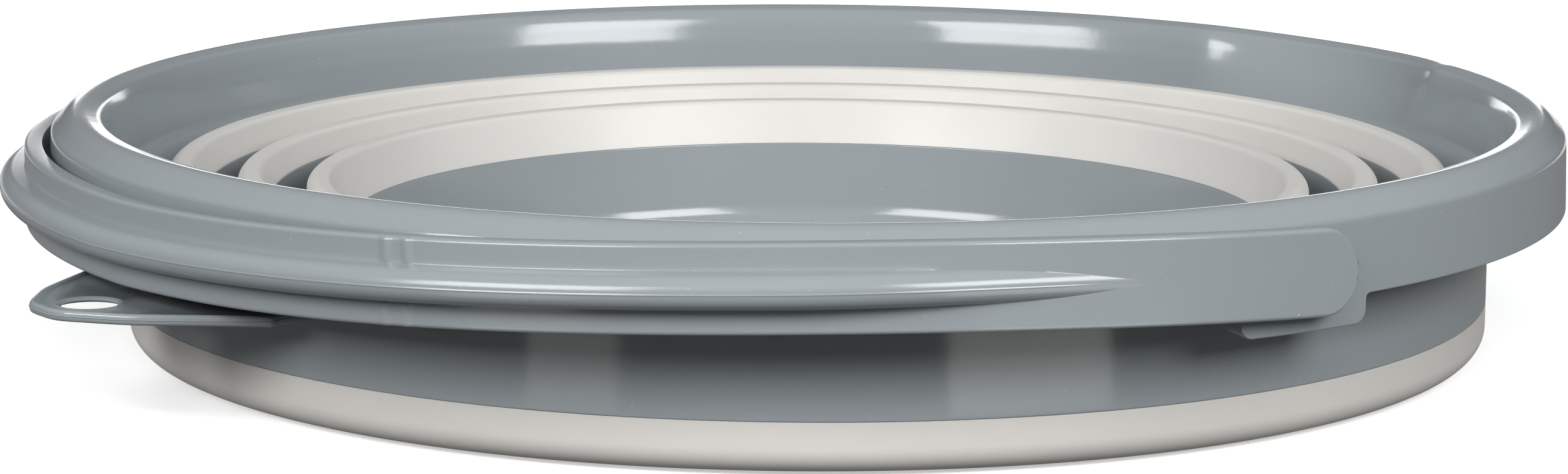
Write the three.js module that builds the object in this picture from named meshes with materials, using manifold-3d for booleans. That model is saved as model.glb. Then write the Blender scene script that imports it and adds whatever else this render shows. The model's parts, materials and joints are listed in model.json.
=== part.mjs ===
// A collapsible foot spa basin with a bail handle, shown folded flat.
//
// Millimetres, +Z up. The origin is on the vertical axis, at the centre of the base's
// underside. +X points to the pouring spout, -X to the hang tab, and the handle turns
// about an axis along Y. Four rigid plastic pieces, each inside the next (rim, outer ring,
// inner ring and base cup), are joined by three soft folds that unroll as the rim is
// pulled up.

import * as THREE from 'three';
import { mergeVertices } from 'three/addons/utils/BufferGeometryUtils.js';
import Module from 'manifold-3d';

const wasm = await Module();
wasm.setup();

// ---- driving dimensions ----

const GAP = 0.3; // between two pieces that touch
const SHELL = 1.8; // wall of the rigid mouldings
const SOFT = 1.6; // wall of the soft folds

const RIM_R = 150; // outside of the skirt
const RIM_TOP = 46.8; // crest of the rim
const RIM_CREST_R = 144.4; // radius of that line
const RIM_EDGE_R = 140.3; // inner edge, where the rim's top turns down into the basin
const RIM_EDGE_Z = 45.7;
const RIM_CREASE_Z = 42.2; // where the skirt turns in towards the crest
const RIM_THROAT_R = 138.2; // where the rolled edge meets the inner wall
const RIM_THROAT_Z = 39.5;
const SKIRT_Z = 29.1; // lower edge of the skirt
const SKIRT_T = 2;
const WALL_R = 135.2; // outer face of the wall below the skirt
const WALL_Z = 10; // lower edge of that wall
const WALL_SHOULDER_Z = 27; // below this the wall is a plain cylinder
const WALL_SHOULDER_RISE = 4.5; // height over which it flares to meet the throat

const SPOUT_HALF_ANGLE = THREE.MathUtils.degToRad(15);
const SPOUT_REACH = 7; // how far the lip stands out past the rim
const SPOUT_DROP = 1.3; // how far the lip dips below the rim
const SPOUT_SOFTNESS = 0.02; // rounding of the two bends where the spout leaves the rim
const SPOUT_FADE = 1.6; // the rounding ends at this multiple of the half angle

const PIVOT_Z = 36;
const EAR_WIDTH = 29;
const EAR_DEPTH = 7;
const EAR_Z = 23.8; // lower edge of the two ears
const STUD_R = 4;
const STUD_HEAD_R = 5.4;
const STUD_HOLE_R = 4.3;
const STUD_HEAD_T = 2;
const STUD_PLAY = 0.5; // between the skirt and the head

const HANDLE_R = 151.5; // inner face of the handle
const HANDLE_T = 3.5;
const HANDLE_HALF = 7.9; // half the height of the strip
const HANDLE_END = 7.5; // how far the strip runs on past the pivot
const HANDLE_CORNER = 6.8; // rounding of the strip's corners at its ends
const HANDLE_EDGE = 0.8; // rounding of the strip's outer edges
const HANDLE_TAB_Z = 33; // middle of the strip above the hang tab
const HANDLE_PIVOT_Z = 35.1; // middle of the strip at the pivot
const HANDLE_BOW = 2.2; // it is bent up this far in its -Y half, and down in its +Y half
const HANDLE_BOW_SHIFT = 0.75; // moves the bend towards the pivots
const GRIP_REACH = 5; // how far the rounded grip stands out from the strip
const GRIP_HALF = 3.1;
const GRIP_FROM = THREE.MathUtils.degToRad(15); // angle from the pivot where the grip starts
const GRIP_FULL = THREE.MathUtils.degToRad(40); // and where it has its full size

const TAB_TIP = 171;
const TAB_TIP_R = 12;
const TAB_CORNER = 141.5; // distance from the axis to the line through the tab's two corners
const TAB_HALF = 32.5;
const TAB_CHAMFER = 1.5; // cut off the two corners, on the side of the wall
const TAB_ROOT_HALF = 30; // half the width of the tab where it leaves the wall
const TAB_Z = 21;
const TAB_T = 2;
const TAB_HOLE_AT = 160.8;
const TAB_HOLE_R = 5.6;

const FOOT = 0.4; // how far the folds stay clear of the surface below
const OUTER_BEND_TOP = 6.3; // height at which the outermost fold starts to bend
const FLANK_ANGLE = THREE.MathUtils.degToRad(65); // slope of a ridge's inner flank
const CREST_R = 2.5; // rounding of a ridge's crest, on the side the water touches
const RING_LEAN = 2.6; // how much narrower a ring is at its lower edge
const RING_FOOT = 4.8; // lower edge of both rings

// Each fold is a ridge: its outer face, the height of its crest and of its inner end.
const RIDGES = {
  outer: { face: 127.2, crest: 35.5, end: 29.5 },
  middle: { face: 113.6, crest: 33.7, end: 28.3 },
  inner: { face: 100.0, crest: 32.2, end: 23.0 },
};

const CUP_FLOOR = 3.6; // upper face of the floor
const CUP_CORNER = 7; // rounding between wall and floor
const CUP_LEAN = 2.6;
const FOOT_RING = { inner: 69, outer: 79 };
const PAD_R = 16; // flat pad in the middle of the underside

// How finely the curves are divided.
const RIM_STEPS = 96;
const ROUND_STEPS = 48;
const SMALL_ROUND_STEPS = 24;
const HANDLE_STEPS = 44;
const BEND_DIVISIONS = 2;

// ---- materials ----

const plastic = () =>
  new THREE.MeshStandardMaterial({ color: 0x7f8a91, roughness: 0.22, metalness: 0 });
const soft = () =>
  new THREE.MeshStandardMaterial({ color: 0xc9c4bf, roughness: 0.55, metalness: 0 });

// ---- helpers ----

const v2 = (x, y) => new THREE.Vector2(x, y);

/** A closed geometry with shared vertices, as a solid that can be cut and joined. */
function toSolid(geometry) {
  geometry.deleteAttribute('normal');
  geometry.deleteAttribute('uv');
  const merged = mergeVertices(geometry, 1e-4);
  return new wasm.Manifold(
    new wasm.Mesh({
      numProp: 3,
      vertProperties: merged.attributes.position.array,
      triVerts: Uint32Array.from(merged.index.array),
    }),
  );
}

/** The geometry of a solid. */
function toGeometry(solid) {
  const mesh = solid.getMesh();
  const geometry = new THREE.BufferGeometry();
  geometry.setAttribute('position', new THREE.BufferAttribute(mesh.vertProperties, 3));
  geometry.setIndex(new THREE.BufferAttribute(mesh.triVerts, 1));
  return geometry;
}

/** A round solid about Z. The profile runs anticlockwise, as points (radius, height). */
function turned(profile, steps = ROUND_STEPS) {
  const onAxis = profile[0].x === 0;
  const points = onAxis ? profile : [...profile, profile[0]];
  const geometry = new THREE.LatheGeometry(points, steps);
  geometry.rotateX(Math.PI / 2);
  return geometry;
}

/** The closed outline of a sheet of even thickness that follows a path. */
function sheetOutline(path, thickness, divisions) {
  const centre = path.getPoints(divisions);
  const side = (sign) =>
    centre.map((point, i) => {
      const before = centre[Math.max(i - 1, 0)];
      const after = centre[Math.min(i + 1, centre.length - 1)];
      const along = after.clone().sub(before).normalize();
      const half = (sign * thickness) / 2;
      return v2(point.x + along.y * half, point.y - along.x * half);
    });
  return [...side(1), ...side(-1).reverse()];
}

function piece(name, geometry, material) {
  geometry.computeVertexNormals();
  const mesh = new THREE.Mesh(geometry, material);
  mesh.name = name;
  return mesh;
}

// ---- the ridges and what hangs between them ----

/** Radius of a ridge's inner flank at a height, on the side that the water touches. */
function flankRadius({ face, crest }, height) {
  const startR = face - CREST_R - CREST_R * Math.sin(FLANK_ANGLE);
  const startZ = crest - CREST_R + CREST_R * Math.cos(FLANK_ANGLE);
  return startR - (startZ - height) / Math.tan(FLANK_ANGLE);
}

/**
 * A soft fold: down from the piece outside it, round a bend near the surface below, up the
 * ridge's outer leg, over the crest and down the inner flank to the piece inside it.
 */
function foldGeometry(ridge, startR, startZ) {
  const leg = ridge.face - SOFT / 2;
  const crestR = CREST_R - SOFT / 2;
  const bendTop = Math.min(startZ, OUTER_BEND_TOP);
  const path = new THREE.Path();
  path.moveTo(startR, startZ);
  if (startZ > bendTop) path.lineTo(startR, bendTop);
  const bendR = (startR - leg) / 2;
  const bendHeight = bendTop - FOOT - SOFT / 2;
  path.absellipse(leg + bendR, bendTop, bendR, bendHeight, 0, -Math.PI, true);
  path.lineTo(leg, ridge.crest - CREST_R);
  path.absarc(
    ridge.face - CREST_R, ridge.crest - CREST_R, crestR, 0, Math.PI / 2 + FLANK_ANGLE, false,
  );
  const across = SOFT / 2;
  path.lineTo(
    flankRadius(ridge, ridge.end) + across * Math.sin(FLANK_ANGLE),
    ridge.end - across * Math.cos(FLANK_ANGLE),
  );
  return turned(sheetOutline(path, SOFT, BEND_DIVISIONS));
}

/** A rigid ring: a slightly tapered band below a ridge's inner flank. */
function ringGeometry(ridge) {
  const top = ridge.end - GAP - SOFT * Math.cos(FLANK_ANGLE);
  const topR = flankRadius(ridge, top);
  return turned([
    v2(topR - RING_LEAN, RING_FOOT),
    v2(topR - RING_LEAN + SHELL, RING_FOOT),
    v2(topR + SHELL, top),
    v2(topR, top),
  ]);
}

/** Middle radius of a ring's lower edge, where the next fold starts. */
function ringFootRadius(ridge) {
  const top = ridge.end - GAP - SOFT * Math.cos(FLANK_ANGLE);
  return flankRadius(ridge, top) - RING_LEAN + SHELL / 2;
}

function baseCupGeometry() {
  const top = RIDGES.inner.end - GAP - SOFT * Math.cos(FLANK_ANGLE);
  const inner = flankRadius(RIDGES.inner, top);
  const cornerR = inner - CUP_LEAN - CUP_CORNER;
  const cornerZ = CUP_FLOOR + CUP_CORNER;
  const outside = CUP_CORNER + SHELL;
  const corner = (radius) =>
    [0, 30, 60, 90].map((degrees) => {
      const a = THREE.MathUtils.degToRad(degrees);
      return v2(cornerR + radius * Math.sin(a), cornerZ - radius * Math.cos(a));
    });
  const under = CUP_FLOOR - SHELL;
  return turned([
    v2(0, 0),
    v2(PAD_R, 0),
    v2(PAD_R + 1, under),
    v2(FOOT_RING.inner - 1, under),
    v2(FOOT_RING.inner, 0),
    v2(FOOT_RING.outer, 0),
    v2(FOOT_RING.outer + 1, under),
    ...corner(outside).slice(1),
    v2(inner + SHELL, top),
    v2(inner, top),
    ...corner(CUP_CORNER).reverse(),
    v2(0, CUP_FLOOR),
  ]);
}

// ---- the rim ----

/** 1 in the middle of the spout, falling to 0 at its two ends. */
function spoutShape(angle) {
  const t = angle / SPOUT_HALF_ANGLE;
  if (Math.abs(t) > SPOUT_FADE) return 0;
  const rise = 1 - t * t;
  return (rise + Math.sqrt(rise * rise + SPOUT_SOFTNESS)) / 2;
}

/** Pushes the rim's upper part out and down around +X to make the pouring spout. */
function addSpout(geometry) {
  const position = geometry.attributes.position;
  const point = new THREE.Vector3();
  for (let i = 0; i < position.count; i += 1) {
    point.fromBufferAttribute(position, i);
    const height = THREE.MathUtils.smoothstep(point.z, SKIRT_Z, RIM_TOP);
    const amount = spoutShape(Math.atan2(point.y, point.x)) * height;
    const radius = Math.hypot(point.x, point.y);
    const scale = (radius + SPOUT_REACH * amount) / radius;
    position.setXYZ(i, point.x * scale, point.y * scale, point.z - SPOUT_DROP * amount);
  }
}

/** The rolled edge, skirt and wall: one moulding, a channel that is open below. */
function rimProfile() {
  const wallInner = WALL_R - SHELL;
  const lipInner = RIM_R - SKIRT_T;
  const shoulderTop = WALL_SHOULDER_Z + WALL_SHOULDER_RISE;
  return [
    v2(WALL_R, WALL_Z),
    v2(WALL_R, WALL_SHOULDER_Z),
    v2(RIM_THROAT_R + 0.9, shoulderTop),
    v2(RIM_THROAT_R + SHELL, RIM_THROAT_Z),
    v2(RIM_EDGE_R + 2, RIM_EDGE_Z - 1.8),
    v2(RIM_CREST_R + 0.6, RIM_TOP - 2),
    v2(lipInner - 0.6, RIM_CREASE_Z - 0.4),
    v2(lipInner, RIM_CREASE_Z - 2.2),
    v2(lipInner + 0.4, SKIRT_Z),
    v2(RIM_R + 0.2, SKIRT_Z),
    v2(RIM_R - 0.1, RIM_CREASE_Z - 1),
    v2(RIM_R - 0.6, RIM_CREASE_Z + 0.6),
    v2(RIM_R - 2.3, RIM_CREASE_Z + 3),
    v2(RIM_CREST_R + 1.7, RIM_TOP - 0.5),
    v2(RIM_CREST_R, RIM_TOP),
    v2(RIM_EDGE_R + 1.2, RIM_EDGE_Z + 0.4),
    v2(RIM_EDGE_R, RIM_EDGE_Z),
    v2(RIM_EDGE_R - 0.6, RIM_EDGE_Z - 1),
    v2(RIM_THROAT_R, RIM_THROAT_Z),
    v2(RIM_THROAT_R - 1.1, shoulderTop),
    v2(wallInner, WALL_SHOULDER_Z),
    v2(wallInner, WALL_Z),
  ];
}

/** A box that stands across one pivot, on the -Y side. */
function pivotBox(width, depthFrom, depthTo, low, high) {
  const box = new THREE.BoxGeometry(width, depthTo - depthFrom, high - low);
  box.translate(0, -(depthFrom + depthTo) / 2, (low + high) / 2);
  return toSolid(box);
}

/** The ear that carries one pivot, on the -Y side: a shallow pocket, open above. */
function earSolid() {
  const slab = toSolid(
    turned([
      v2(RIM_R - EAR_DEPTH, EAR_Z),
      v2(RIM_R + 0.2, EAR_Z),
      v2(RIM_R + 0.2, SKIRT_Z + 2),
      v2(RIM_R - EAR_DEPTH, SKIRT_Z + 2),
    ], RIM_STEPS),
  );
  const plate = slab.intersect(pivotBox(EAR_WIDTH, RIM_R / 2, RIM_R * 1.2, 0, RIM_TOP));
  const pocket = toSolid(
    turned([
      v2(RIM_R - EAR_DEPTH - 1, EAR_Z + SHELL),
      v2(RIM_R - SKIRT_T, EAR_Z + SHELL),
      v2(RIM_R - SKIRT_T, RIM_TOP),
      v2(RIM_R - EAR_DEPTH - 1, RIM_TOP),
    ], RIM_STEPS),
  );
  const inside = EAR_WIDTH - 2 * SHELL;
  return plate.subtract(pocket.intersect(pivotBox(inside, RIM_R / 2, RIM_R * 1.2, 0, RIM_TOP)));
}

/** The triangular hang tab with its hole, rooted on the wall at -X. */
function tabSolid() {
  const rootR = WALL_R - SHELL / 2;
  const rootAngle = Math.asin(TAB_ROOT_HALF / rootR);
  const tipCentre = TAB_TIP - TAB_TIP_R;
  const toCorner = Math.hypot(tipCentre - TAB_CORNER, TAB_HALF);
  const cornerAngle = Math.atan2(TAB_HALF, TAB_CORNER - tipCentre);
  const touch = cornerAngle - Math.acos(TAB_TIP_R / toCorner);
  const shape = new THREE.Shape();
  shape.absarc(0, 0, rootR, rootAngle, -rootAngle, true);
  shape.lineTo(TAB_CORNER - TAB_CHAMFER, TAB_CHAMFER - TAB_HALF);
  shape.lineTo(TAB_CORNER, -TAB_HALF);
  shape.absarc(tipCentre, 0, TAB_TIP_R, -touch, touch, false);
  shape.lineTo(TAB_CORNER, TAB_HALF);
  shape.lineTo(TAB_CORNER - TAB_CHAMFER, TAB_HALF - TAB_CHAMFER);
  const hole = new THREE.Path();
  hole.absarc(TAB_HOLE_AT, 0, TAB_HOLE_R, 0, Math.PI * 2, true);
  shape.holes.push(hole);
  const plate = new THREE.ExtrudeGeometry(shape, {
    depth: TAB_T, bevelEnabled: false, curveSegments: 10,
  });
  plate.rotateZ(Math.PI);
  plate.translate(0, 0, TAB_Z);
  return toSolid(plate);
}

function rimGeometry() {
  const body = turned(rimProfile(), RIM_STEPS);
  addSpout(body);
  const ear = earSolid();
  const drill = new THREE.CylinderGeometry(
    STUD_HOLE_R, STUD_HOLE_R, EAR_DEPTH, SMALL_ROUND_STEPS,
  );
  drill.translate(0, -RIM_R, 0);
  const hole = toSolid(drill.translate(0, 0, PIVOT_Z));
  let rim = toSolid(body).add(tabSolid());
  for (const turn of [0, 180]) {
    rim = rim.add(ear.rotate([0, 0, turn])).subtract(hole.rotate([0, 0, turn]));
  }
  return toGeometry(rim);
}

// ---- the handle ----

/** Section of the handle: (distance out from the inner face, height from the middle). */
function handleSection(half, grip) {
  const edge = HANDLE_EDGE;
  const bulge = [90, 45, 0, -45, -90].map((degrees) => {
    const a = THREE.MathUtils.degToRad(degrees);
    const height = Math.min(GRIP_HALF, half - edge - 0.2) * Math.sin(a);
    return v2(HANDLE_T + GRIP_REACH * grip * Math.cos(a), height);
  });
  return [
    v2(0, half),
    v2(HANDLE_T - edge, half),
    v2(HANDLE_T, half - edge),
    ...bulge,
    v2(HANDLE_T, edge - half),
    v2(HANDLE_T - edge, -half),
    v2(0, -half),
  ];
}

/** The hoop, as sections set round from one pivot, past -X, to the other. */
function hoopGeometry() {
  const endAngle = HANDLE_END / HANDLE_R;
  const cornerAngle = HANDLE_CORNER / HANDLE_R;
  const start = -endAngle;
  const finish = Math.PI + endAngle;
  const corner = [0, 30, 60, 90].map(
    (degrees) => (1 - Math.cos(THREE.MathUtils.degToRad(degrees))) * cornerAngle,
  );
  const angles = corner.map((a) => start + a);
  for (let i = 1; i < HANDLE_STEPS; i += 1) {
    const share = i / HANDLE_STEPS;
    angles.push(start + cornerAngle + share * (finish - start - 2 * cornerAngle));
  }
  angles.push(...corner.map((a) => finish - a).reverse());
  const positions = [];
  const count = handleSection(HANDLE_HALF, 0).length;
  for (const angle of angles) {
    const fromEnd = Math.min(angle - start, finish - angle) * HANDLE_R;
    const short = Math.max(HANDLE_CORNER - fromEnd, 0);
    const round = HANDLE_CORNER - Math.sqrt(HANDLE_CORNER ** 2 - short ** 2);
    const fromPivot = Math.min(angle, Math.PI - angle);
    const grip = THREE.MathUtils.smoothstep(fromPivot, GRIP_FROM, GRIP_FULL);
    const middle = HANDLE_TAB_Z + (HANDLE_PIVOT_Z - HANDLE_TAB_Z) * Math.abs(Math.cos(angle))
      + HANDLE_BOW * Math.sin(2 * angle) + HANDLE_BOW_SHIFT * Math.sin(4 * angle);
    for (const at of handleSection(HANDLE_HALF - round, grip)) {
      const radius = HANDLE_R + at.x;
      positions.push(-radius * Math.sin(angle), -radius * Math.cos(angle), middle + at.y);
    }
  }
  const index = [];
  for (let i = 0; i + 1 < angles.length; i += 1) {
    for (let k = 0; k < count; k += 1) {
      const a = i * count + k;
      const b = i * count + ((k + 1) % count);
      index.push(a, a + count, b, b, a + count, b + count);
    }
  }
  const last = (angles.length - 1) * count;
  for (let k = 1; k + 1 < count; k += 1) {
    index.push(0, k, k + 1);
    index.push(last, last + k + 1, last + k);
  }
  const geometry = new THREE.BufferGeometry();
  geometry.setAttribute('position', new THREE.Float32BufferAttribute(positions, 3));
  geometry.setIndex(index);
  return geometry;
}

/** The stud at the -Y end of the handle, with the head that snaps in behind the ear. */
function studSolid() {
  const root = HANDLE_R + HANDLE_T / 2;
  const headAt = root - (RIM_R - SKIRT_T) + STUD_PLAY;
  const end = headAt + STUD_HEAD_T;
  const stud = turned([
    v2(0, 0),
    v2(STUD_R, 0),
    v2(STUD_R, headAt),
    v2(STUD_HEAD_R, headAt + 0.2),
    v2(STUD_R - 0.4, end),
    v2(0, end),
  ], SMALL_ROUND_STEPS);
  stud.rotateX(-Math.PI / 2);
  stud.translate(0, -root, PIVOT_Z);
  return toSolid(stud);
}

function handleGeometry() {
  const stud = studSolid();
  const hoop = toSolid(hoopGeometry());
  return toGeometry(hoop.add(stud).add(stud.rotate([0, 0, 180])));
}

// ---- the assembly ----

const foldEdge = WALL_R - SOFT / 2;
const basin = new THREE.Group();
basin.add(
  piece('base_cup', baseCupGeometry(), plastic()),
  piece(
    'fold_inner',
    foldGeometry(RIDGES.inner, ringFootRadius(RIDGES.middle), RING_FOOT - GAP),
    soft(),
  ),
  piece('ring_inner', ringGeometry(RIDGES.middle), plastic()),
  piece(
    'fold_middle',
    foldGeometry(RIDGES.middle, ringFootRadius(RIDGES.outer), RING_FOOT - GAP),
    soft(),
  ),
  piece('ring_outer', ringGeometry(RIDGES.outer), plastic()),
  piece('fold_outer', foldGeometry(RIDGES.outer, foldEdge, WALL_Z - GAP), soft()),
  piece('rim', rimGeometry(), plastic()),
  piece('handle', handleGeometry(), plastic()),
);

export default basin;
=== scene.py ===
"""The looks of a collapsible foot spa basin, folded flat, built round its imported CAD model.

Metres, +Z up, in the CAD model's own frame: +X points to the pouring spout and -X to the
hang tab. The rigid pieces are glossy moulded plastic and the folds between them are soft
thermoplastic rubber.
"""

import json
import math

import bmesh
import bpy
import numpy as np
from mathutils import Matrix, Vector


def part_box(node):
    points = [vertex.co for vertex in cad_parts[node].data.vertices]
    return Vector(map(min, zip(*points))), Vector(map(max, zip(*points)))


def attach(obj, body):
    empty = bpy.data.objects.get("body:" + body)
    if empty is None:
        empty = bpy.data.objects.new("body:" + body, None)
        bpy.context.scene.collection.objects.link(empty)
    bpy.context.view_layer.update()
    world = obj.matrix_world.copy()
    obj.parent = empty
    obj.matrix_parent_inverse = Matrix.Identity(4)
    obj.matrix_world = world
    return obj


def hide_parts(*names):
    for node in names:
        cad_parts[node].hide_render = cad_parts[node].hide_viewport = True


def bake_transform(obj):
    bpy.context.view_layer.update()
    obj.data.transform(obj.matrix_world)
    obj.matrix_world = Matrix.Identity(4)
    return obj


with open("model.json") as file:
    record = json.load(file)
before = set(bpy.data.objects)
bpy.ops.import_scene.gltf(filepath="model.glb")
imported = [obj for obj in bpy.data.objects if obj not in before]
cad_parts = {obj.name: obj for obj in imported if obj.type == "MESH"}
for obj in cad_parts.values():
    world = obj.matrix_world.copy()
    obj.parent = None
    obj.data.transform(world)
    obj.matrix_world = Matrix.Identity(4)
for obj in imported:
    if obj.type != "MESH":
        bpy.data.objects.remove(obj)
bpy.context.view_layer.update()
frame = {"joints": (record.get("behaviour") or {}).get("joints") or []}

MM = 0.001

# ---- sizes taken from the frame ----

rim_low, rim_high = (np.array(corner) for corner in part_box("rim"))
handle_low, handle_high = (np.array(corner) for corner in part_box("handle"))
outer_high = np.array(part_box("fold_outer")[1])
middle_high = np.array(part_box("fold_middle")[1])
inner_low, inner_high = (np.array(corner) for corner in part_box("fold_inner"))

joints = {joint["name"]: joint for joint in frame["joints"]}
PIVOT_Z = joints["handle_swing"]["pos_m"][2]
RIM_TOP = rim_high[2]
WALL_Z = rim_low[2]  # lower edge of the outer wall
WALL_R = outer_high[0]
TAB_TIP = -rim_low[0]

# ---- the handle's sizes ----

HANDLE_T = 3.5 * MM  # thickness of the strip
HANDLE_OUT = handle_high[1]  # outer face of the strip, over the pivot
HANDLE_R = HANDLE_OUT - HANDLE_T
HANDLE_HALF = 7.9 * MM  # half the strip's width
HANDLE_END = 7.5 * MM  # how far the strip runs on past the pivot
HANDLE_CORNER = 7.2 * MM  # rounding of the strip's ends
HANDLE_TAB_Z = 33 * MM  # middle of the strip over the tab
HANDLE_PIVOT_Z = 35.1 * MM  # and at the pivots
HANDLE_BOW = 2.2 * MM  # it is bent up this far in its front half, and down in its back half
HANDLE_BOW_SHIFT = 0.75 * MM  # moves the bend towards the pivots
GRIP_R = 3.05 * MM
GRIP_FROM = math.radians(13)  # angle from the pivot where the grip starts
GRIP_FULL = math.radians(38)  # and where it has its full size
MARK_AT = math.radians(63)  # two low ribs left by the mould across the strip's face
MARK_RISE = 0.3 * MM
MARK_APART = 2.1 * MM  # from the middle of the mark to each rib
MARK_WIDE = 1.4 * MM  # half a rib's width
STUD_R = 4 * MM
STUD_HEAD_R = 5.4 * MM
STUD_TIP_R = 3.6 * MM

# ---- the other pieces' sizes ----

SHELL = 1.8 * MM  # wall of the rigid pieces
SOFT = 1.6 * MM  # wall of the folds
RIM_R = HANDLE_R - 1.5 * MM  # outer crease of the rim
SKIRT_Z = 29.1 * MM  # lower edge of the skirt
THROAT_Z = 39.5 * MM  # height of the rim's narrowest place inside
THROAT_R = 138.2 * MM
CREST_TOP_R = 145.6 * MM
INNER_EDGE_R = 140.3 * MM
SPOUT_REACH = rim_high[0] - RIM_R
SPOUT_HALF_ANGLE = math.radians(15)
SPOUT_DROP = 1.2 * MM
EAR_Z = 23.8 * MM  # lower edge of the ears
EAR_HALF = 14.5 * MM  # half an ear's width
EAR_CORNER = 2.4 * MM
EAR_FILLET = 1.3 * MM
EAR_DEPTH = 7 * MM

RING_FOOT = 4.8 * MM  # lower edge of both rings
RING_LEAN = 2.6 * MM  # how much narrower a ring is at its lower edge
SEAM = 0.02 * MM  # between a fold's outer end and the piece it hangs on
FLANK = math.radians(65)  # slope of a ridge's inner flank
CREST_R = 2.5 * MM
CREASE_IN = 4.2 * MM  # from a ridge's outer face to the crease of its crest
LONG_LEG_FROM = 6 * MM  # a fold that starts above this has a straight leg at its start

CUP_FLOOR = 3.6 * MM
CUP_LEAN = 2.6 * MM
CUP_CORNER = 8.8 * MM
PAD_R = 16 * MM
FOOT_RING = (69 * MM, 79 * MM)
FOOT_RISE = 1.8 * MM  # clear height under the cup beside the foot ring

TAB_TOP = 23 * MM
TAB_BOTTOM = 21 * MM
TAB_BEAD = 1.7 * MM  # width of the raised edge
TAB_PLATE_DOWN = 0.55 * MM  # how far the plate lies below the bead
TAB_HOLE_AT = 160.8 * MM
TAB_HOLE_R = 5.1 * MM

SHARP = math.radians(50)  # edges sharper than this aren't shaded smooth

# Outer face, crest height and inner end of each ridge.
RIDGES = {
    "outer": {"face": 127.2 * MM, "crest": outer_high[2], "end": 29.5 * MM},
    "middle": {"face": 113.6 * MM, "crest": middle_high[2], "end": 28.3 * MM},
    "inner": {"face": 100.0 * MM, "crest": inner_high[2], "end": 23.0 * MM},
}

# ---- camera ----

VIEW_TURN = math.radians(35.8)  # the spout points this far behind the right of the picture
VIEW_RISE = math.radians(11.26)
VIEW_ROLL = math.radians(0.315)
VIEW_DISTANCE = 0.972
LENS = 110.65
AIM_RIGHT = -0.00474  # how far the camera looks past the origin, as slopes
AIM_UP = 0.01868


def add_camera():
    """A long lens, a little above the rim, looking from the front left of the spout."""
    right = np.array([math.cos(VIEW_TURN), -math.sin(VIEW_TURN), 0.0])
    level = np.array([math.sin(VIEW_TURN), math.cos(VIEW_TURN), 0.0])
    forward = level * math.cos(VIEW_RISE) - np.array([0, 0, math.sin(VIEW_RISE)])
    up = np.cross(right, forward)
    place = -VIEW_DISTANCE * forward
    right, up = (
        right * math.cos(VIEW_ROLL) + up * math.sin(VIEW_ROLL),
        up * math.cos(VIEW_ROLL) - right * math.sin(VIEW_ROLL),
    )
    forward = forward + AIM_RIGHT * right + AIM_UP * up
    forward /= np.linalg.norm(forward)
    right -= forward * (right @ forward)
    right /= np.linalg.norm(right)
    up = np.cross(right, forward)
    data = bpy.data.cameras.new("camera")
    data.lens = LENS
    data.sensor_width = 36
    data.clip_start = 0.05
    data.clip_end = 30
    camera = bpy.data.objects.new("camera", data)
    matrix = np.eye(4)
    matrix[:3, 0], matrix[:3, 1], matrix[:3, 2], matrix[:3, 3] = right, up, -forward, place
    camera.matrix_world = Matrix(matrix.tolist())
    bpy.context.collection.objects.link(camera)
    bpy.context.scene.camera = camera
    return right, level


view_right, view_level = add_camera()

# ---- mesh helpers ----


def smoothstep(value, low, high):
    t = np.clip((value - low) / (high - low), 0, 1)
    return t * t * (3 - 2 * t)


def rounded(corners, closed=True, step=2.5 * MM, turn=math.radians(10)):
    """An outline through corners of (radius, height, rounding), with arcs at the corners.

    Straight stretches get points near both ends, which keeps the shading of a face even,
    and about one every step between them.
    """
    points = np.array([corner[:2] for corner in corners], float)
    count = len(points)
    out = []
    for i in range(count):
        if not closed and i in (0, count - 1):
            out.append(points[i][None])
            continue
        before, here, after = points[i - 1], points[i], points[(i + 1) % count]
        a, b = before - here, after - here
        length_a, length_b = np.linalg.norm(a), np.linalg.norm(b)
        a, b = a / length_a, b / length_b
        half = math.acos(np.clip(a @ b, -1, 1)) / 2
        reach = min(corners[i][2] / math.tan(half), 0.48 * length_a, 0.48 * length_b)
        radius = reach * math.tan(half)
        bisector = (a + b) / np.linalg.norm(a + b)
        centre = here + bisector * radius / math.sin(half)
        steps = max(2, math.ceil((math.pi - 2 * half) / turn))
        start = here + a * reach - centre
        # The arc turns from the incoming side to the outgoing side round its centre.
        goal = here + b * reach - centre
        cross = start[0] * goal[1] - start[1] * goal[0]
        angles = np.linspace(0, math.pi - 2 * half, steps + 1) * np.sign(cross)
        cos, sin = np.cos(angles), np.sin(angles)
        arc = np.stack([start[0] * cos - start[1] * sin, start[0] * sin + start[1] * cos], 1)
        out.append(arc + centre)
    line = []
    for i, arc in enumerate(out):
        line.extend(arc)
        if not closed and i == count - 1:
            break
        start, end = arc[-1], out[(i + 1) % count][0]
        length = np.linalg.norm(end - start)
        if length < 0.8 * MM:
            continue
        share = 0.25 * MM / length
        inner = max(1, round(length / step))
        for t in np.concatenate([[share], np.linspace(0, 1, inner + 1)[1:-1], [1 - share]]):
            line.append(start + (end - start) * t)
    return np.array(line)


def band_outline(centre, thickness):
    """The closed outline of a sheet that follows a line, and each point's share of its length."""
    along = np.gradient(centre, axis=0)
    along /= np.linalg.norm(along, axis=1)[:, None]
    side = np.stack([along[:, 1], -along[:, 0]], 1) * thickness / 2
    run = np.concatenate([[0], np.cumsum(np.linalg.norm(np.diff(centre, axis=0), axis=1))])
    share = run / run[-1]
    outline = np.concatenate([centre + side, (centre - side)[::-1]])
    return outline, np.concatenate([share, share[::-1]])


def around(outline, angles):
    """Points (angle, outline, xyz) of an outline turned about Z."""
    radius, height = outline[:, 0], outline[:, 1]
    x = np.cos(angles)[:, None] * radius
    y = np.sin(angles)[:, None] * radius
    return np.stack([x, y, np.broadcast_to(height, x.shape)], 2)


def full_turn(steps):
    """Even angles once round."""
    return np.arange(steps) * 2 * math.pi / steps


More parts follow.
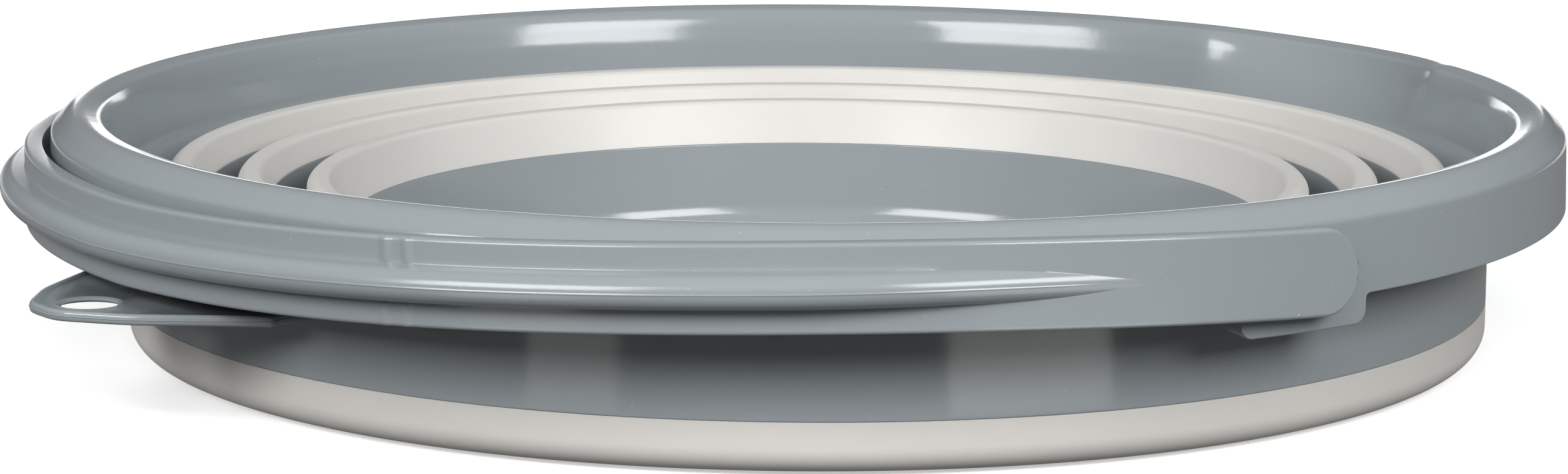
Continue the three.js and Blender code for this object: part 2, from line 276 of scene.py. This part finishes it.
def skin(name, points, loop=True, caps=False):
    """A mesh object over a grid of points whose second index goes round a closed outline."""
    rows, count = points.shape[:2]
    i = np.arange(rows if loop else rows - 1)[:, None]
    k = np.arange(count)[None]
    after = (i + 1) % rows
    beside = (k + 1) % count
    quads = np.stack(
        [i * count + k, i * count + beside, after * count + beside, after * count + k], 2
    )
    faces = quads.reshape(-1, 4).tolist()
    if caps:
        faces.append(list(range(count))[::-1])
        faces.append([(rows - 1) * count + k for k in range(count)])
    mesh = bpy.data.meshes.new(name)
    mesh.from_pydata(points.reshape(-1, 3).tolist(), [], faces)
    mesh.validate()
    obj = bpy.data.objects.new(name, mesh)
    bpy.context.collection.objects.link(obj)
    face_outwards(mesh)
    mesh.shade_smooth()
    mesh.set_sharp_from_angle(angle=SHARP)
    return obj


def face_outwards(mesh):
    """Turns every face over if the closed mesh encloses a negative volume."""
    corners = np.zeros(len(mesh.vertices) * 3)
    mesh.vertices.foreach_get("co", corners)
    corners = corners.reshape(-1, 3)
    mesh.calc_loop_triangles()
    triangles = np.zeros(len(mesh.loop_triangles) * 3, int)
    mesh.loop_triangles.foreach_get("vertices", triangles)
    a, b, c = (corners[triangles.reshape(-1, 3)[:, k]] for k in range(3))
    volume = np.einsum("ij,ij->i", a, np.cross(b, c)).sum()
    if volume < 0:
        mesh.flip_normals()


def weld_axis(obj):
    """Joins the points that lie together on the axis of a turned solid."""
    solid = bmesh.new()
    solid.from_mesh(obj.data)
    bmesh.ops.remove_doubles(solid, verts=solid.verts, dist=1e-6)
    bmesh.ops.dissolve_degenerate(solid, edges=solid.edges, dist=1e-7)
    solid.to_mesh(obj.data)
    solid.free()
    face_outwards(obj.data)


def finish_piece(obj, material, body, nodes):
    """Gives a piece its material, the body it rides on and the nodes it stands for."""
    obj.data.materials.clear()
    obj.data.materials.append(material)
    if body:
        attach(obj, body)
    if nodes:
        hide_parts(*nodes)
    return obj


# ---- materials ----


def new_material(name):
    material = bpy.data.materials.new(name)
    material.use_nodes = True
    nodes = material.node_tree.nodes
    return material, nodes, material.node_tree.links, nodes["Principled BSDF"]


def noise(nodes, links, scale, detail, source, roughness=0.5):
    node = nodes.new("ShaderNodeTexNoise")
    node.inputs["Scale"].default_value = scale
    node.inputs["Detail"].default_value = detail
    node.inputs["Roughness"].default_value = roughness
    links.new(source, node.inputs["Vector"])
    return node.outputs["Fac"]


def remap(nodes, links, value, low, high, to_low, to_high):
    node = nodes.new("ShaderNodeMapRange")
    node.inputs["From Min"].default_value = low
    node.inputs["From Max"].default_value = high
    node.inputs["To Min"].default_value = to_low
    node.inputs["To Max"].default_value = to_high
    links.new(value, node.inputs["Value"])
    return node.outputs["Result"]


def colour_between(nodes, links, factor, one, two):
    node = nodes.new("ShaderNodeMix")
    node.data_type = "RGBA"
    links.new(factor, node.inputs["Factor"])
    node.inputs["A"].default_value = (*one, 1)
    node.inputs["B"].default_value = (*two, 1)
    return node.outputs["Result"]


def bump(nodes, links, height, distance, strength, under=None):
    node = nodes.new("ShaderNodeBump")
    node.inputs["Distance"].default_value = distance
    node.inputs["Strength"].default_value = strength
    links.new(height, node.inputs["Height"])
    if under is not None:
        links.new(under, node.inputs["Normal"])
    return node.outputs["Normal"]


def clouded(nodes, links, where, scale, detail, colour, dark, light):
    """The colour with slow, faint clouds in it."""
    clouds = noise(nodes, links, scale, detail, where)
    darker = tuple(c * dark for c in colour)
    lighter = tuple(min(c * light, 1) for c in colour)
    return colour_between(
        nodes, links, remap(nodes, links, clouds, 0.3, 0.7, 0, 1), darker, lighter
    )


def dusted(nodes, links, where, scale, low, high, base, dust_colour):
    """A colour with sparse specks of dust over it."""
    dust = noise(nodes, links, scale, 2, where, 0.7)
    mix = nodes.new("ShaderNodeMix")
    mix.data_type = "RGBA"
    links.new(remap(nodes, links, dust, low, high, 0, 0.5), mix.inputs["Factor"])
    links.new(base, mix.inputs["A"])
    mix.inputs["B"].default_value = (*dust_colour, 1)
    return mix.outputs["Result"]


def moulded_plastic(name, colour, gloss):
    """Glossy polypropylene: slow waves left by cooling, a faint orange peel, and fine dust."""
    material, nodes, links, shader = new_material(name)
    where = nodes.new("ShaderNodeTexCoord").outputs["Object"]
    base = clouded(nodes, links, where, 9, 3, colour, 0.955, 1.04)
    dusty = dusted(nodes, links, where, 1500, 0.735, 0.76, base, (0.62, 0.62, 0.6))
    links.new(dusty, shader.inputs["Base Color"])
    smears = noise(nodes, links, 28, 4, where)
    links.new(
        remap(nodes, links, smears, 0.25, 0.75, gloss * 0.75, gloss * 1.3),
        shader.inputs["Roughness"],
    )
    waves = bump(nodes, links, noise(nodes, links, 22, 1, where), 0.0004, 0.35)
    peel = bump(nodes, links, noise(nodes, links, 420, 2, where), 0.00004, 0.35, waves)
    links.new(peel, shader.inputs["Normal"])
    shader.inputs["IOR"].default_value = 1.49
    shader.inputs["Subsurface Weight"].default_value = 0.06
    shader.inputs["Subsurface Radius"].default_value = (1.0, 1.0, 1.0)
    shader.inputs["Subsurface Scale"].default_value = 0.0012
    return material


def soft_rubber(name, colour):
    """Satin thermoplastic rubber: soft light under the surface and a fine, dry grain."""
    material, nodes, links, shader = new_material(name)
    where = nodes.new("ShaderNodeTexCoord").outputs["Object"]
    base = clouded(nodes, links, where, 14, 4, colour, 0.95, 1.03)
    dusty = dusted(nodes, links, where, 1300, 0.74, 0.77, base, (0.3, 0.28, 0.26))
    links.new(dusty, shader.inputs["Base Color"])
    smears = noise(nodes, links, 40, 3, where)
    links.new(remap(nodes, links, smears, 0.25, 0.75, 0.34, 0.5), shader.inputs["Roughness"])
    waves = bump(nodes, links, noise(nodes, links, 30, 2, where), 0.0006, 0.35)
    grain = bump(nodes, links, noise(nodes, links, 2600, 2, where), 0.00002, 0.4, waves)
    links.new(grain, shader.inputs["Normal"])
    shader.inputs["Subsurface Weight"].default_value = 0.18
    shader.inputs["Subsurface Radius"].default_value = (1.0, 0.9, 0.8)
    shader.inputs["Subsurface Scale"].default_value = 0.0025
    return material


GREY = (0.232, 0.258, 0.270)
plastic_rim = moulded_plastic("rim_plastic", GREY, 0.13)
plastic_handle = moulded_plastic("handle_plastic", tuple(c * 1.03 for c in GREY), 0.2)
plastic_inside = moulded_plastic("cup_plastic", tuple(c * 0.98 for c in GREY), 0.14)
rubber = soft_rubber("soft_fold", (0.55, 0.532, 0.505))

# ---- the rim ----


def spout_amount(angle):
    """1 in the middle of the spout, falling to 0 at the two bends where it leaves the rim."""
    t = angle / SPOUT_HALF_ANGLE
    rise = 1 - t * t
    soft_edge = np.sqrt(rise * rise + 0.012) + rise
    return np.where(np.abs(t) > 1.6, 0, soft_edge / 2)


def ear_amount(angle):
    """How far the skirt's edge is let down at an angle: 1 across an ear.

    The ear's lower corners are round, and a small fillet joins its sides to the skirt.
    """
    off = np.minimum(np.abs(angle - math.pi / 2), np.abs(angle + math.pi / 2)) * RIM_R
    short = np.clip(EAR_CORNER - (EAR_HALF - off), 0, EAR_CORNER)
    lost = EAR_CORNER - np.sqrt(EAR_CORNER**2 - short**2)
    clear = np.clip(off - EAR_HALF, 0, EAR_FILLET)
    left = EAR_FILLET - np.sqrt(EAR_FILLET**2 - (EAR_FILLET - clear) ** 2)
    depth = SKIRT_Z - EAR_Z
    return np.where(off < EAR_HALF, 1 - lost / depth, left / depth)


def rim_angles():
    """Even steps, with finer ones at the corners of the ears."""
    edges = [
        side * math.pi / 2 + way * (EAR_HALF + shift * MM) / RIM_R
        for side in (-1, 1)
        for way in (-1, 1)
        for shift in (1.3, 0.9, 0.5, 0.2, 0.02, -0.02, -0.15, -0.4, -0.8, -1.3, -1.8, -2.2)
    ]
    even = np.linspace(-math.pi, math.pi, 720, endpoint=False)
    clear = [a for a in even if min(abs(a - e) for e in edges) > math.radians(0.12)]
    return np.array(sorted(clear + edges))


def rim_outline():
    """Section of the rim: wall, shoulder, throat, inner edge, broad crest, skirt."""
    top = RIM_TOP
    # The side that can't be wetted, from the foot of the wall out to the skirt's edge.
    outside = [
        (WALL_R, WALL_Z, 0.25 * MM),
        (WALL_R, 27.0 * MM, 3 * MM),
        (139.0 * MM, 32 * MM, 4 * MM),
        (139.9 * MM, THROAT_Z, 4 * MM),
        (142.3 * MM, top - 2.9 * MM, 2 * MM),
        (CREST_TOP_R, top - 2.0 * MM, 3 * MM),
        (RIM_R - 2.0 * MM, top - 5.4 * MM, 2 * MM),
        (RIM_R - 1.6 * MM, SKIRT_Z, 0.3 * MM),
    ]
    # The other side, from the skirt's edge over the crest and back down to the wall's foot.
    inside = [
        (RIM_R + 0.2 * MM, SKIRT_Z, 0.3 * MM),
        (RIM_R - 0.1 * MM, top - 3.8 * MM, 1.8 * MM),
        (CREST_TOP_R, top + 0.38 * MM, 5 * MM),
        (INNER_EDGE_R, top - 0.8 * MM, 1.6 * MM),
        (139.15 * MM, top - 3.4 * MM, 10.5 * MM),
        (THROAT_R, THROAT_Z - 0.2 * MM, 15 * MM),
        (137.2 * MM, 32.3 * MM, 4 * MM),
        (WALL_R - SHELL, 27.0 * MM, 4 * MM),
        (WALL_R - SHELL, WALL_Z, 0.25 * MM),
    ]
    return rounded(outside + inside)


def make_rim():
    """The rim moulding, drawn out into the spout and let down at the two ears."""
    angles = rim_angles()
    points = around(rim_outline(), angles)
    x, y, z = points[..., 0], points[..., 1], points[..., 2]
    radius = np.hypot(x, y)
    height = smoothstep(z, SKIRT_Z, RIM_TOP - MM)
    amount = spout_amount(angles)[:, None] * height
    scale = (radius + SPOUT_REACH * amount) / radius
    on_skirt = (radius > RIM_R - 3 * MM) & (z < SKIRT_Z + 4 * MM)
    let_down = 1 - smoothstep(z, SKIRT_Z, SKIRT_Z + 4 * MM)
    drop = ear_amount(angles)[:, None] * np.where(on_skirt, let_down, 0)
    points = np.stack(
        [x * scale, y * scale, z - SPOUT_DROP * amount - (SKIRT_Z - EAR_Z) * drop], 2
    )
    rim = skin("rim_shell", points)
    return finish_piece(rim, plastic_rim, "rim_tier", ["rim"])


def make_ear(name, side):
    """The inner walls of the shallow pocket behind an ear: two sides and a bottom."""
    back = RIM_R - EAR_DEPTH
    outside, inside = EAR_HALF - 0.3 * MM, EAR_HALF - SHELL
    bottom, floor, top = EAR_Z + 0.15 * MM, EAR_Z + SHELL, SKIRT_Z + 3 * MM
    outline = rounded([
        (-outside, top, 0.3 * MM),
        (-outside, bottom, 2.2 * MM),
        (outside, bottom, 2.2 * MM),
        (outside, top, 0.3 * MM),
        (inside, top, 0.3 * MM),
        (inside, floor, 1.2 * MM),
        (-inside, floor, 1.2 * MM),
        (-inside, top, 0.3 * MM),
    ], step=1.5 * MM)
    across, height = outline[:, 0], outline[:, 1]
    middle = (EAR_Z + SKIRT_Z) / 2
    edge = 0.25 * MM
    rows = []
    for radius, inset in [
        (back, edge), (back + edge * 0.3, edge * 0.3), (back + edge, 0),
        (RIM_R - 4 * MM, 0), (RIM_R - 1.2 * MM, 0),
    ]:
        angle = side * math.pi / 2 + across * (1 - inset / EAR_HALF) / RIM_R
        v = middle + (height - middle) * (1 - inset / (12.5 * MM))
        rows.append(np.stack([radius * np.cos(angle), radius * np.sin(angle), v], 1))
    ear = skin(name, np.array(rows), loop=False, caps=True)
    return finish_piece(ear, plastic_rim, "rim_tier", [])


def offset_outline(outline, inset):
    """The outline moved inwards, point by point, for a bevelled edge."""
    before = np.roll(outline, 1, 0)
    after = np.roll(outline, -1, 0)
    along = after - before
    along /= np.maximum(np.linalg.norm(along, axis=1), 1e-9)[:, None]
    inwards = np.stack([-along[:, 1], along[:, 0]], 1)
    area = np.sum(outline[:, 0] * after[:, 1] - after[:, 0] * outline[:, 1])
    return outline + inwards * inset * np.sign(area)


def make_tab():
    """The hang tab: a thin triangular plate with a raised edge and a countersunk hole."""
    middle = (TAB_TOP + TAB_BOTTOM) / 2
    root = WALL_R - SHELL * 0.6
    half_line = [
        (TAB_TIP + 0.3 * MM, 5 * MM, 9 * MM),
        (162.5 * MM, 16.2 * MM, 25 * MM),
        (141.5 * MM, 32.6 * MM, 1.2 * MM),
        (139.2 * MM, 31.6 * MM, 0.8 * MM),
        (root * math.cos(0.225), root * math.sin(0.225), 0.5 * MM),
        (root * math.cos(0.08), root * math.sin(0.08), 40 * MM),
    ]
    other_half = [(x, -y, rounding) for x, y, rounding in reversed(half_line)]
    outer = rounded(half_line + other_half, step=1.2 * MM)
    outer[:, 0] += TAB_TIP - outer[:, 0].max()
    plate_top = TAB_TOP - TAB_PLATE_DOWN
    # Rows from the middle of the edge, over the bead, to the plate; the underside mirrors it.
    profile = [
        (0.0, middle), (0.12 * MM, middle + 0.12 * MM),
        (0.14 * MM, TAB_TOP - 0.5 * MM), (0.3 * MM, TAB_TOP - 0.18 * MM), (0.65 * MM, TAB_TOP),
        (TAB_BEAD - 0.5 * MM, TAB_TOP), (TAB_BEAD - 0.15 * MM, TAB_TOP - 0.1 * MM),
        (TAB_BEAD + 0.15 * MM, plate_top + 0.1 * MM), (TAB_BEAD + 0.5 * MM, plate_top),
    ]
    solid = bmesh.new()

    def ring(outline, inset, height):
        moved = offset_outline(outline, inset)
        return [solid.verts.new((-p[0], p[1], height)) for p in moved]

    def join(one, two):
        count = len(one)
        for k in range(count):
            n = (k + 1) % count
            solid.faces.new((one[k], one[n], two[n], two[k]))

    angles = np.linspace(0, 2 * math.pi, 48, endpoint=False)
    circle = TAB_HOLE_R * np.stack([np.cos(angles), np.sin(angles)], 1) + [TAB_HOLE_AT, 0]
    hole_profile = [
        (0.0, middle), (-0.1 * MM, TAB_TOP - 0.85 * MM), (-0.85 * MM, TAB_TOP - 0.5 * MM),
        (-1.1 * MM, TAB_TOP - 0.45 * MM), (-1.3 * MM, plate_top),
    ]
    edges = []
    for flip in (1, -1):
        last_rows = []
        for outline, rows in ((outer, profile), (circle, hole_profile)):
            previous = None
            for inset, height in rows:
                row = ring(outline, inset, middle + flip * (height - middle))
                if previous:
                    join(previous, row)
                previous = row
            last_rows.append(previous)
        edges.append(last_rows)
    for edge_outer, edge_hole in edges:
        loops = []
        for loop in (edge_outer, edge_hole):
            for k, vert in enumerate(loop):
                other = loop[(k + 1) % len(loop)]
                loops.append(solid.edges.get((vert, other)))
        bmesh.ops.triangle_fill(solid, use_beauty=True, edges=loops)
    bmesh.ops.remove_doubles(solid, verts=solid.verts, dist=1e-7)
    bmesh.ops.recalc_face_normals(solid, faces=solid.faces)
    mesh = bpy.data.meshes.new("hang_tab")
    solid.to_mesh(mesh)
    solid.free()
    tab = bpy.data.objects.new("hang_tab", mesh)
    bpy.context.collection.objects.link(tab)
    face_outwards(mesh)
    mesh.shade_smooth()
    mesh.set_sharp_from_angle(angle=math.radians(40))
    return finish_piece(tab, plastic_rim, "rim_tier", [])


# ---- the rings, the cup and the folds ----


def flank_radius(ridge, height):
    """Radius of a ridge's inner flank, on the side the water touches, at a height."""
    start_r = ridge["face"] - CREST_R - CREST_R * math.sin(FLANK)
    start_z = ridge["crest"] - CREST_R + CREST_R * math.cos(FLANK)
    return start_r - (start_z - height) / math.tan(FLANK)


def ring_top(ridge):
    """Upper edge of the rigid piece below a ridge: it meets the fold's end."""
    return ridge["end"] - 0.05 * MM


def make_ring(name, ridge, body, node):
    """A rigid ring: a slightly tapered band below a ridge's inner flank."""
    top = ring_top(ridge)
    radius = flank_radius(ridge, top)
    foot = radius - RING_LEAN
    outline = rounded([
        (foot, RING_FOOT, 0.3 * MM),
        (foot + SHELL, RING_FOOT, 0.3 * MM),
        (radius + SHELL, top, 0.3 * MM),
        (radius, top, 0.3 * MM),
    ])
    ring = skin(name, around(outline, full_turn(360)))
    return finish_piece(ring, plastic_inside, body, [node])


def make_cup():
    """The base: a cup with a foot ring and a middle pad under it."""
    ridge = RIDGES["inner"]
    top = ring_top(ridge)
    inner = flank_radius(ridge, top)
    foot = inner - CUP_LEAN
    ring_inner, ring_outer = FOOT_RING
    outline = rounded([
        (0, 0, 0),
        (PAD_R, 0, 0.3 * MM),
        (PAD_R + MM, FOOT_RISE, 0.4 * MM),
        (ring_inner - MM, FOOT_RISE, 0.4 * MM),
        (ring_inner, 0, 0.4 * MM),
        (ring_outer, 0, 0.4 * MM),
        (ring_outer + MM, FOOT_RISE, 0.4 * MM),
        (foot + SHELL, FOOT_RISE, CUP_CORNER),
        (inner + SHELL, top, 0.3 * MM),
        (inner, top, 0.3 * MM),
        (foot - 0.3 * MM, CUP_FLOOR, CUP_CORNER - SHELL),
        (PAD_R + 4 * MM, CUP_FLOOR, 0.2 * MM),
        (PAD_R + 2.5 * MM, CUP_FLOOR + 0.35 * MM, 0.2 * MM),
        (0, CUP_FLOOR + 0.35 * MM, 0),
    ], closed=False, step=4 * MM)
    cup = skin("base_cup_shell", around(outline, full_turn(288)))
    weld_axis(cup)
    cup.data.set_sharp_from_angle(angle=SHARP)
    return finish_piece(cup, plastic_inside, "base", ["base_cup"])


def fold_line(ridge, start_r, start_z):
    """The middle line of a fold, from the piece outside it to the piece inside it."""
    leg = ridge["face"] - SOFT / 2
    crest = ridge["crest"] - SOFT / 2
    low = inner_low[2] + SOFT / 2
    crease_r = ridge["face"] - CREASE_IN
    end_r = flank_radius(ridge, ridge["end"]) + SOFT / 2 * math.sin(FLANK)
    end_z = ridge["end"] - SOFT / 2 * math.cos(FLANK)
    short = start_z < LONG_LEG_FROM
    bend = (start_r - leg) / 2 * 1.02
    return rounded([
        (start_r, start_z, 0),
        (start_r, low, bend if short else 5.6 * MM),
        (leg, low, bend if short else 2.7 * MM),
        (leg, crest - 0.05 * MM, 2.2 * MM),
        (crease_r, crest - 0.35 * MM, 0.5 * MM),
        (end_r, end_z, 0),
    ], closed=False, turn=math.radians(8))


def make_fold(name, ridge, start_r, start_z, node):
    """A fold: a soft sheet of even thickness along its middle line, turned once round, in its
    folded shape.
    """
    line = fold_line(ridge, start_r, start_z)
    outline, share = band_outline(line, SOFT)
    angles = full_turn(360)
    fold = skin(name, around(outline, angles))
    finish_piece(fold, rubber, None, [node])
    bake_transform(fold)
    return fold


# ---- the handle ----


def handle_section(half, reach, mark):
    """Outline of the strip with its grip: (out from the inner face, up from the middle).

    The grip is a round bar that stands out of the strip by its reach, and the mould's
    parting line runs along the middle as a fine ridge. A mark lifts the flats beside it.
    """
    centre = reach - GRIP_R
    widest = math.sqrt(max(GRIP_R**2 - min(centre, 0) ** 2, 0))
    turns = np.radians(np.arange(90, 5, -7))
    least = 0.2 * MM + 0.02 * MM * np.arange(len(turns), 0, -1)
    up = np.maximum(widest * np.sin(turns), least)
    out = np.maximum(centre + np.sqrt(np.maximum(GRIP_R**2 - up**2, 0)), 0)
    crown = max(centre + GRIP_R, 0)
    bulge = [(HANDLE_T + o, u) for o, u in zip(out, up)]
    parting = min(0.09 * MM, crown / 10)
    bulge += [(HANDLE_T + crown, 0.16 * MM), (HANDLE_T + crown + parting, 0.06 * MM)]
    edge = 0.7 * MM
    face = HANDLE_T + mark
    body = [(0.3 * MM, half), (face - edge - 0.3 * MM, half)]
    for degrees in (90, 70, 45, 20, 0):
        a = math.radians(degrees)
        body.append((face - edge + edge * math.cos(a), half - edge + edge * math.sin(a)))
    foot = up[0] + 0.25 * MM
    body += [(face, half - edge - 0.25 * MM), (face, foot + 0.9 * MM)]
    body += [
        (HANDLE_T + mark / 2 + parting / 4, foot + 0.3 * MM),
        (HANDLE_T + min(0.12 * MM, out[0] / 2), foot),
    ]
    upper = body + bulge
    inside = [(0.08 * MM, 0.08 * MM - half), (0, 0.35 * MM - half), (0, -half / 2)]
    inside += [(0, 0)] + [(o, -u) for o, u in reversed(inside)]
    return np.array(upper + [(o, -u) for o, u in reversed(upper)] + inside)


def handle_angles(start, finish):
    """Angles from the front end to the back end, finer at the ends and the mould mark."""
    near = HANDLE_CORNER / HANDLE_R * (1 - np.cos(np.radians(np.linspace(0, 90, 12))))
    even = np.linspace(start + near[-1], finish - near[-1], 420)[1:-1]
    marks = MARK_AT + np.linspace(-4.2, 4.2, 29) * MM / HANDLE_R
    between = [a for a in even if abs(a - MARK_AT) > 4.5 * MM / HANDLE_R]
    between = np.array(sorted(between + list(marks)))
    return np.concatenate([start + near, between, (finish - near)[::-1]])


def mark_rise(angle):
    """Height of the two ribs of the mould mark."""
    along = abs(angle - MARK_AT) * HANDLE_R
    share = max(0.0, 1 - ((along - MARK_APART) / MARK_WIDE) ** 2)
    return MARK_RISE * share * share


def make_handle():
    """The strip round the tab's side, with its grip fading out towards the pivots."""
    end_angle = HANDLE_END / HANDLE_R
    start, finish = -end_angle, math.pi + end_angle
    reach = -handle_low[0] - HANDLE_OUT
    rows = []
    for angle in handle_angles(start, finish):
        from_end = min(angle - start, finish - angle) * HANDLE_R
        short = max(HANDLE_CORNER - from_end, 0)
        lost = HANDLE_CORNER - math.sqrt(max(HANDLE_CORNER**2 - short**2, 0))
        from_pivot = min(angle, math.pi - angle)
        grip = float(smoothstep(from_pivot, GRIP_FROM, GRIP_FULL))
        middle = HANDLE_TAB_Z + (HANDLE_PIVOT_Z - HANDLE_TAB_Z) * abs(math.cos(angle))
        middle += HANDLE_BOW * math.sin(2 * angle) + HANDLE_BOW_SHIFT * math.sin(4 * angle)
        section = handle_section(HANDLE_HALF - lost, reach * grip, mark_rise(angle))
        radius = HANDLE_R + section[:, 0]
        rows.append(np.stack([
            -radius * math.sin(angle), -radius * math.cos(angle), middle + section[:, 1],
        ], 1))
    handle = skin("handle_hoop", np.array(rows), loop=False, caps=True)
    return finish_piece(handle, plastic_handle, "bail", ["handle"])


def make_stud(name, side):
    """The stud on the handle that snaps through an ear."""
    root = HANDLE_R + HANDLE_T / 2
    head = root - (RIM_R - 2 * MM) + 0.5 * MM
    outline = rounded([
        (0, 0, 0),
        (STUD_R, 0, 0.1 * MM),
        (STUD_R, head, 0.2 * MM),
        (STUD_HEAD_R, head + 0.2 * MM, 0.3 * MM),
        (STUD_TIP_R, head + 2 * MM, 0.4 * MM),
        (0, head + 2 * MM, 0),
    ], closed=False, step=1 * MM)
    points = around(outline, full_turn(48))
    x, y, z = points[..., 0], points[..., 1], points[..., 2]
    turned = np.stack([x * side, side * (root - z), y + PIVOT_Z], 2)
    stud = skin(name, turned)
    weld_axis(stud)
    return finish_piece(stud, plastic_handle, "bail", [])


def ring_foot_radius(ridge):
    """Middle radius of a ring's lower edge, where the next fold starts."""
    return flank_radius(ridge, ring_top(ridge)) - RING_LEAN + SHELL / 2


make_rim()
make_ear("ear_front", -1)
make_ear("ear_back", 1)
make_tab()
make_ring("ring_outer_band", RIDGES["outer"], "outer_tier", "ring_outer")
make_ring("ring_inner_band", RIDGES["middle"], "inner_tier", "ring_inner")
make_cup()
make_fold(
    "fold_outer_sheet", RIDGES["outer"], WALL_R - SOFT / 2,
    WALL_Z - SEAM, "fold_outer",
)
make_fold(
    "fold_middle_sheet", RIDGES["middle"], ring_foot_radius(RIDGES["outer"]),
    RING_FOOT - SEAM, "fold_middle",
)
make_fold(
    "fold_inner_sheet", RIDGES["inner"], ring_foot_radius(RIDGES["middle"]),
    RING_FOOT - SEAM, "fold_inner",
)
make_handle()
make_stud("stud_front", -1)
make_stud("stud_back", 1)

# ---- stage and light ----


def add_floor():
    """A pale floor that only the camera sees; reflections show the cards under it."""
    material, nodes, links, shader = new_material("pale_floor")
    where = nodes.new("ShaderNodeTexCoord").outputs["Object"]
    grain = noise(nodes, links, 6, 3, where)
    tint = colour_between(
        nodes, links, remap(nodes, links, grain, 0.3, 0.7, 0, 1),
        (0.93, 0.93, 0.925), (0.95, 0.95, 0.945),
    )
    links.new(tint, shader.inputs["Base Color"])
    shader.inputs["Roughness"].default_value = 0.7
    shader.inputs["Emission Color"].default_value = (1, 1, 1, 1)
    shader.inputs["Emission Strength"].default_value = 0.42
    mesh = bpy.data.meshes.new("floor")
    size = 6
    corners = [(-size, -size, 0), (size, -size, 0), (size, size, 0), (-size, size, 0)]
    mesh.from_pydata(corners, [], [(0, 1, 2, 3)])
    mesh.materials.append(material)
    floor = bpy.data.objects.new("floor", mesh)
    bpy.context.collection.objects.link(floor)
    floor.location.z = -0.2 * MM
    floor.visible_glossy = False
    floor.visible_diffuse = False
    floor.visible_shadow = False


def add_glow(name, corners, radiance, height, lights):
    """A card just under the floor, seen only in reflections, that may also light the basin."""
    material = bpy.data.materials.new(name)
    material.use_nodes = True
    nodes, links = material.node_tree.nodes, material.node_tree.links
    nodes.clear()
    glow = nodes.new("ShaderNodeEmission")
    glow.inputs["Strength"].default_value = radiance
    where = nodes.new("ShaderNodeTexCoord").outputs["Object"]
    shade = remap(nodes, links, noise(nodes, links, 4, 2, where), 0.3, 0.7, 0, 1)
    links.new(
        colour_between(nodes, links, shade, (0.94, 0.93, 0.91), (1.0, 0.99, 0.97)),
        glow.inputs["Color"],
    )
    links.new(glow.outputs["Emission"], nodes.new("ShaderNodeOutputMaterial").inputs["Surface"])
    mesh = bpy.data.meshes.new(name)
    mesh.from_pydata([tuple(corner) + (height,) for corner in corners], [], [(0, 1, 2, 3)])
    mesh.materials.append(material)
    card = bpy.data.objects.new(name, mesh)
    bpy.context.collection.objects.link(card)
    card.visible_camera = False
    card.visible_shadow = False
    card.visible_diffuse = lights


def on_floor(corners):
    """Points (right, away from the camera) on the floor, in the frame's own axes."""
    return [tuple((view_right * x + view_level * y)[:2]) for x, y in corners]


def add_soft_box(name, azimuth, elevation, distance, width, height, radiance):
    """A soft box aimed at the origin, at an angle to the right of the camera and one above
    the floor.
    """
    turn, rise = math.radians(azimuth), math.radians(elevation)
    towards = view_right * math.sin(turn) - view_level * math.cos(turn)
    place = towards * math.cos(rise) + np.array([0, 0, math.sin(rise)])
    place = Vector(place) * distance
    data = bpy.data.lights.new(name, "AREA")
    data.shape = "RECTANGLE"
    data.size, data.size_y = width, height
    data.energy = radiance * math.pi * width * height
    light = bpy.data.objects.new(name, data)
    light.location = place
    light.rotation_euler = (-place).to_track_quat("-Z", "Y").to_euler()
    light.visible_camera = False
    bpy.context.collection.objects.link(light)
    return light


def add_world():
    """A room that is dim at the horizon and below it, and lighter above."""
    world = bpy.data.worlds.new("studio")
    world.use_nodes = True
    nodes, links = world.node_tree.nodes, world.node_tree.links
    where = nodes.new("ShaderNodeTexCoord").outputs["Generated"]
    split = nodes.new("ShaderNodeSeparateXYZ")
    links.new(where, split.inputs["Vector"])
    room = colour_between(
        nodes, links, remap(nodes, links, split.outputs["Z"], -0.05, 0.75, 0, 1),
        (0.14, 0.14, 0.14), (0.62, 0.64, 0.66),
    )
    links.new(room, nodes["Background"].inputs["Color"])
    nodes["Background"].inputs["Strength"].default_value = 0.63
    bpy.context.scene.world = world


# Corners of the cards under the floor, as (right, away from the camera).
BOUNCE = [(-0.9, -0.9), (0.9, -0.9), (0.9, 0.5), (-0.9, 0.5)]
FAR_FLOOR = [(-0.5, 0.25), (0.5, 0.25), (0.5, 1.5), (-0.5, 1.5)]
PANEL_RIGHT = [(0.046, -0.183), (0.08, -0.268), (0.165, -0.22), (0.096, -0.159)]
PANEL_LEFT = [(-0.061, -0.178), (-0.107, -0.2576), (-0.1544, -0.2286), (-0.0896, -0.1633)]
UPPER_CARDS_Z = -0.4 * MM
LOWER_CARD_Z = -0.6 * MM

add_floor()
add_world()
add_glow("bounce", on_floor(BOUNCE), 0.2, LOWER_CARD_Z, True)
add_glow("far_floor", on_floor(FAR_FLOOR), 1.0, UPPER_CARDS_Z, False)
add_glow("panel_right", on_floor(PANEL_RIGHT), 2.2, UPPER_CARDS_Z, False)
add_glow("panel_left", on_floor(PANEL_LEFT), 1.3, UPPER_CARDS_Z, False)
# Azimuth and elevation in degrees, then distance, width and height, then radiance.
add_soft_box("box_right", 40.5, 28, 1.4, 0.7, 0.54, 12)
add_soft_box("box_left", -40.5, 28, 1.4, 0.7, 0.54, 12)
add_soft_box("fill_front", 0, 36, 1.5, 0.8, 0.5, 3.6).visible_glossy = False
add_soft_box("fill_side", -118, 22, 1.2, 0.4, 0.4, 1.2).visible_glossy = False
add_soft_box("horizon", 180, 2.2, 1.6, 1.0, 0.3, 2.8)
bpy.context.scene.view_settings.view_transform = "Standard"
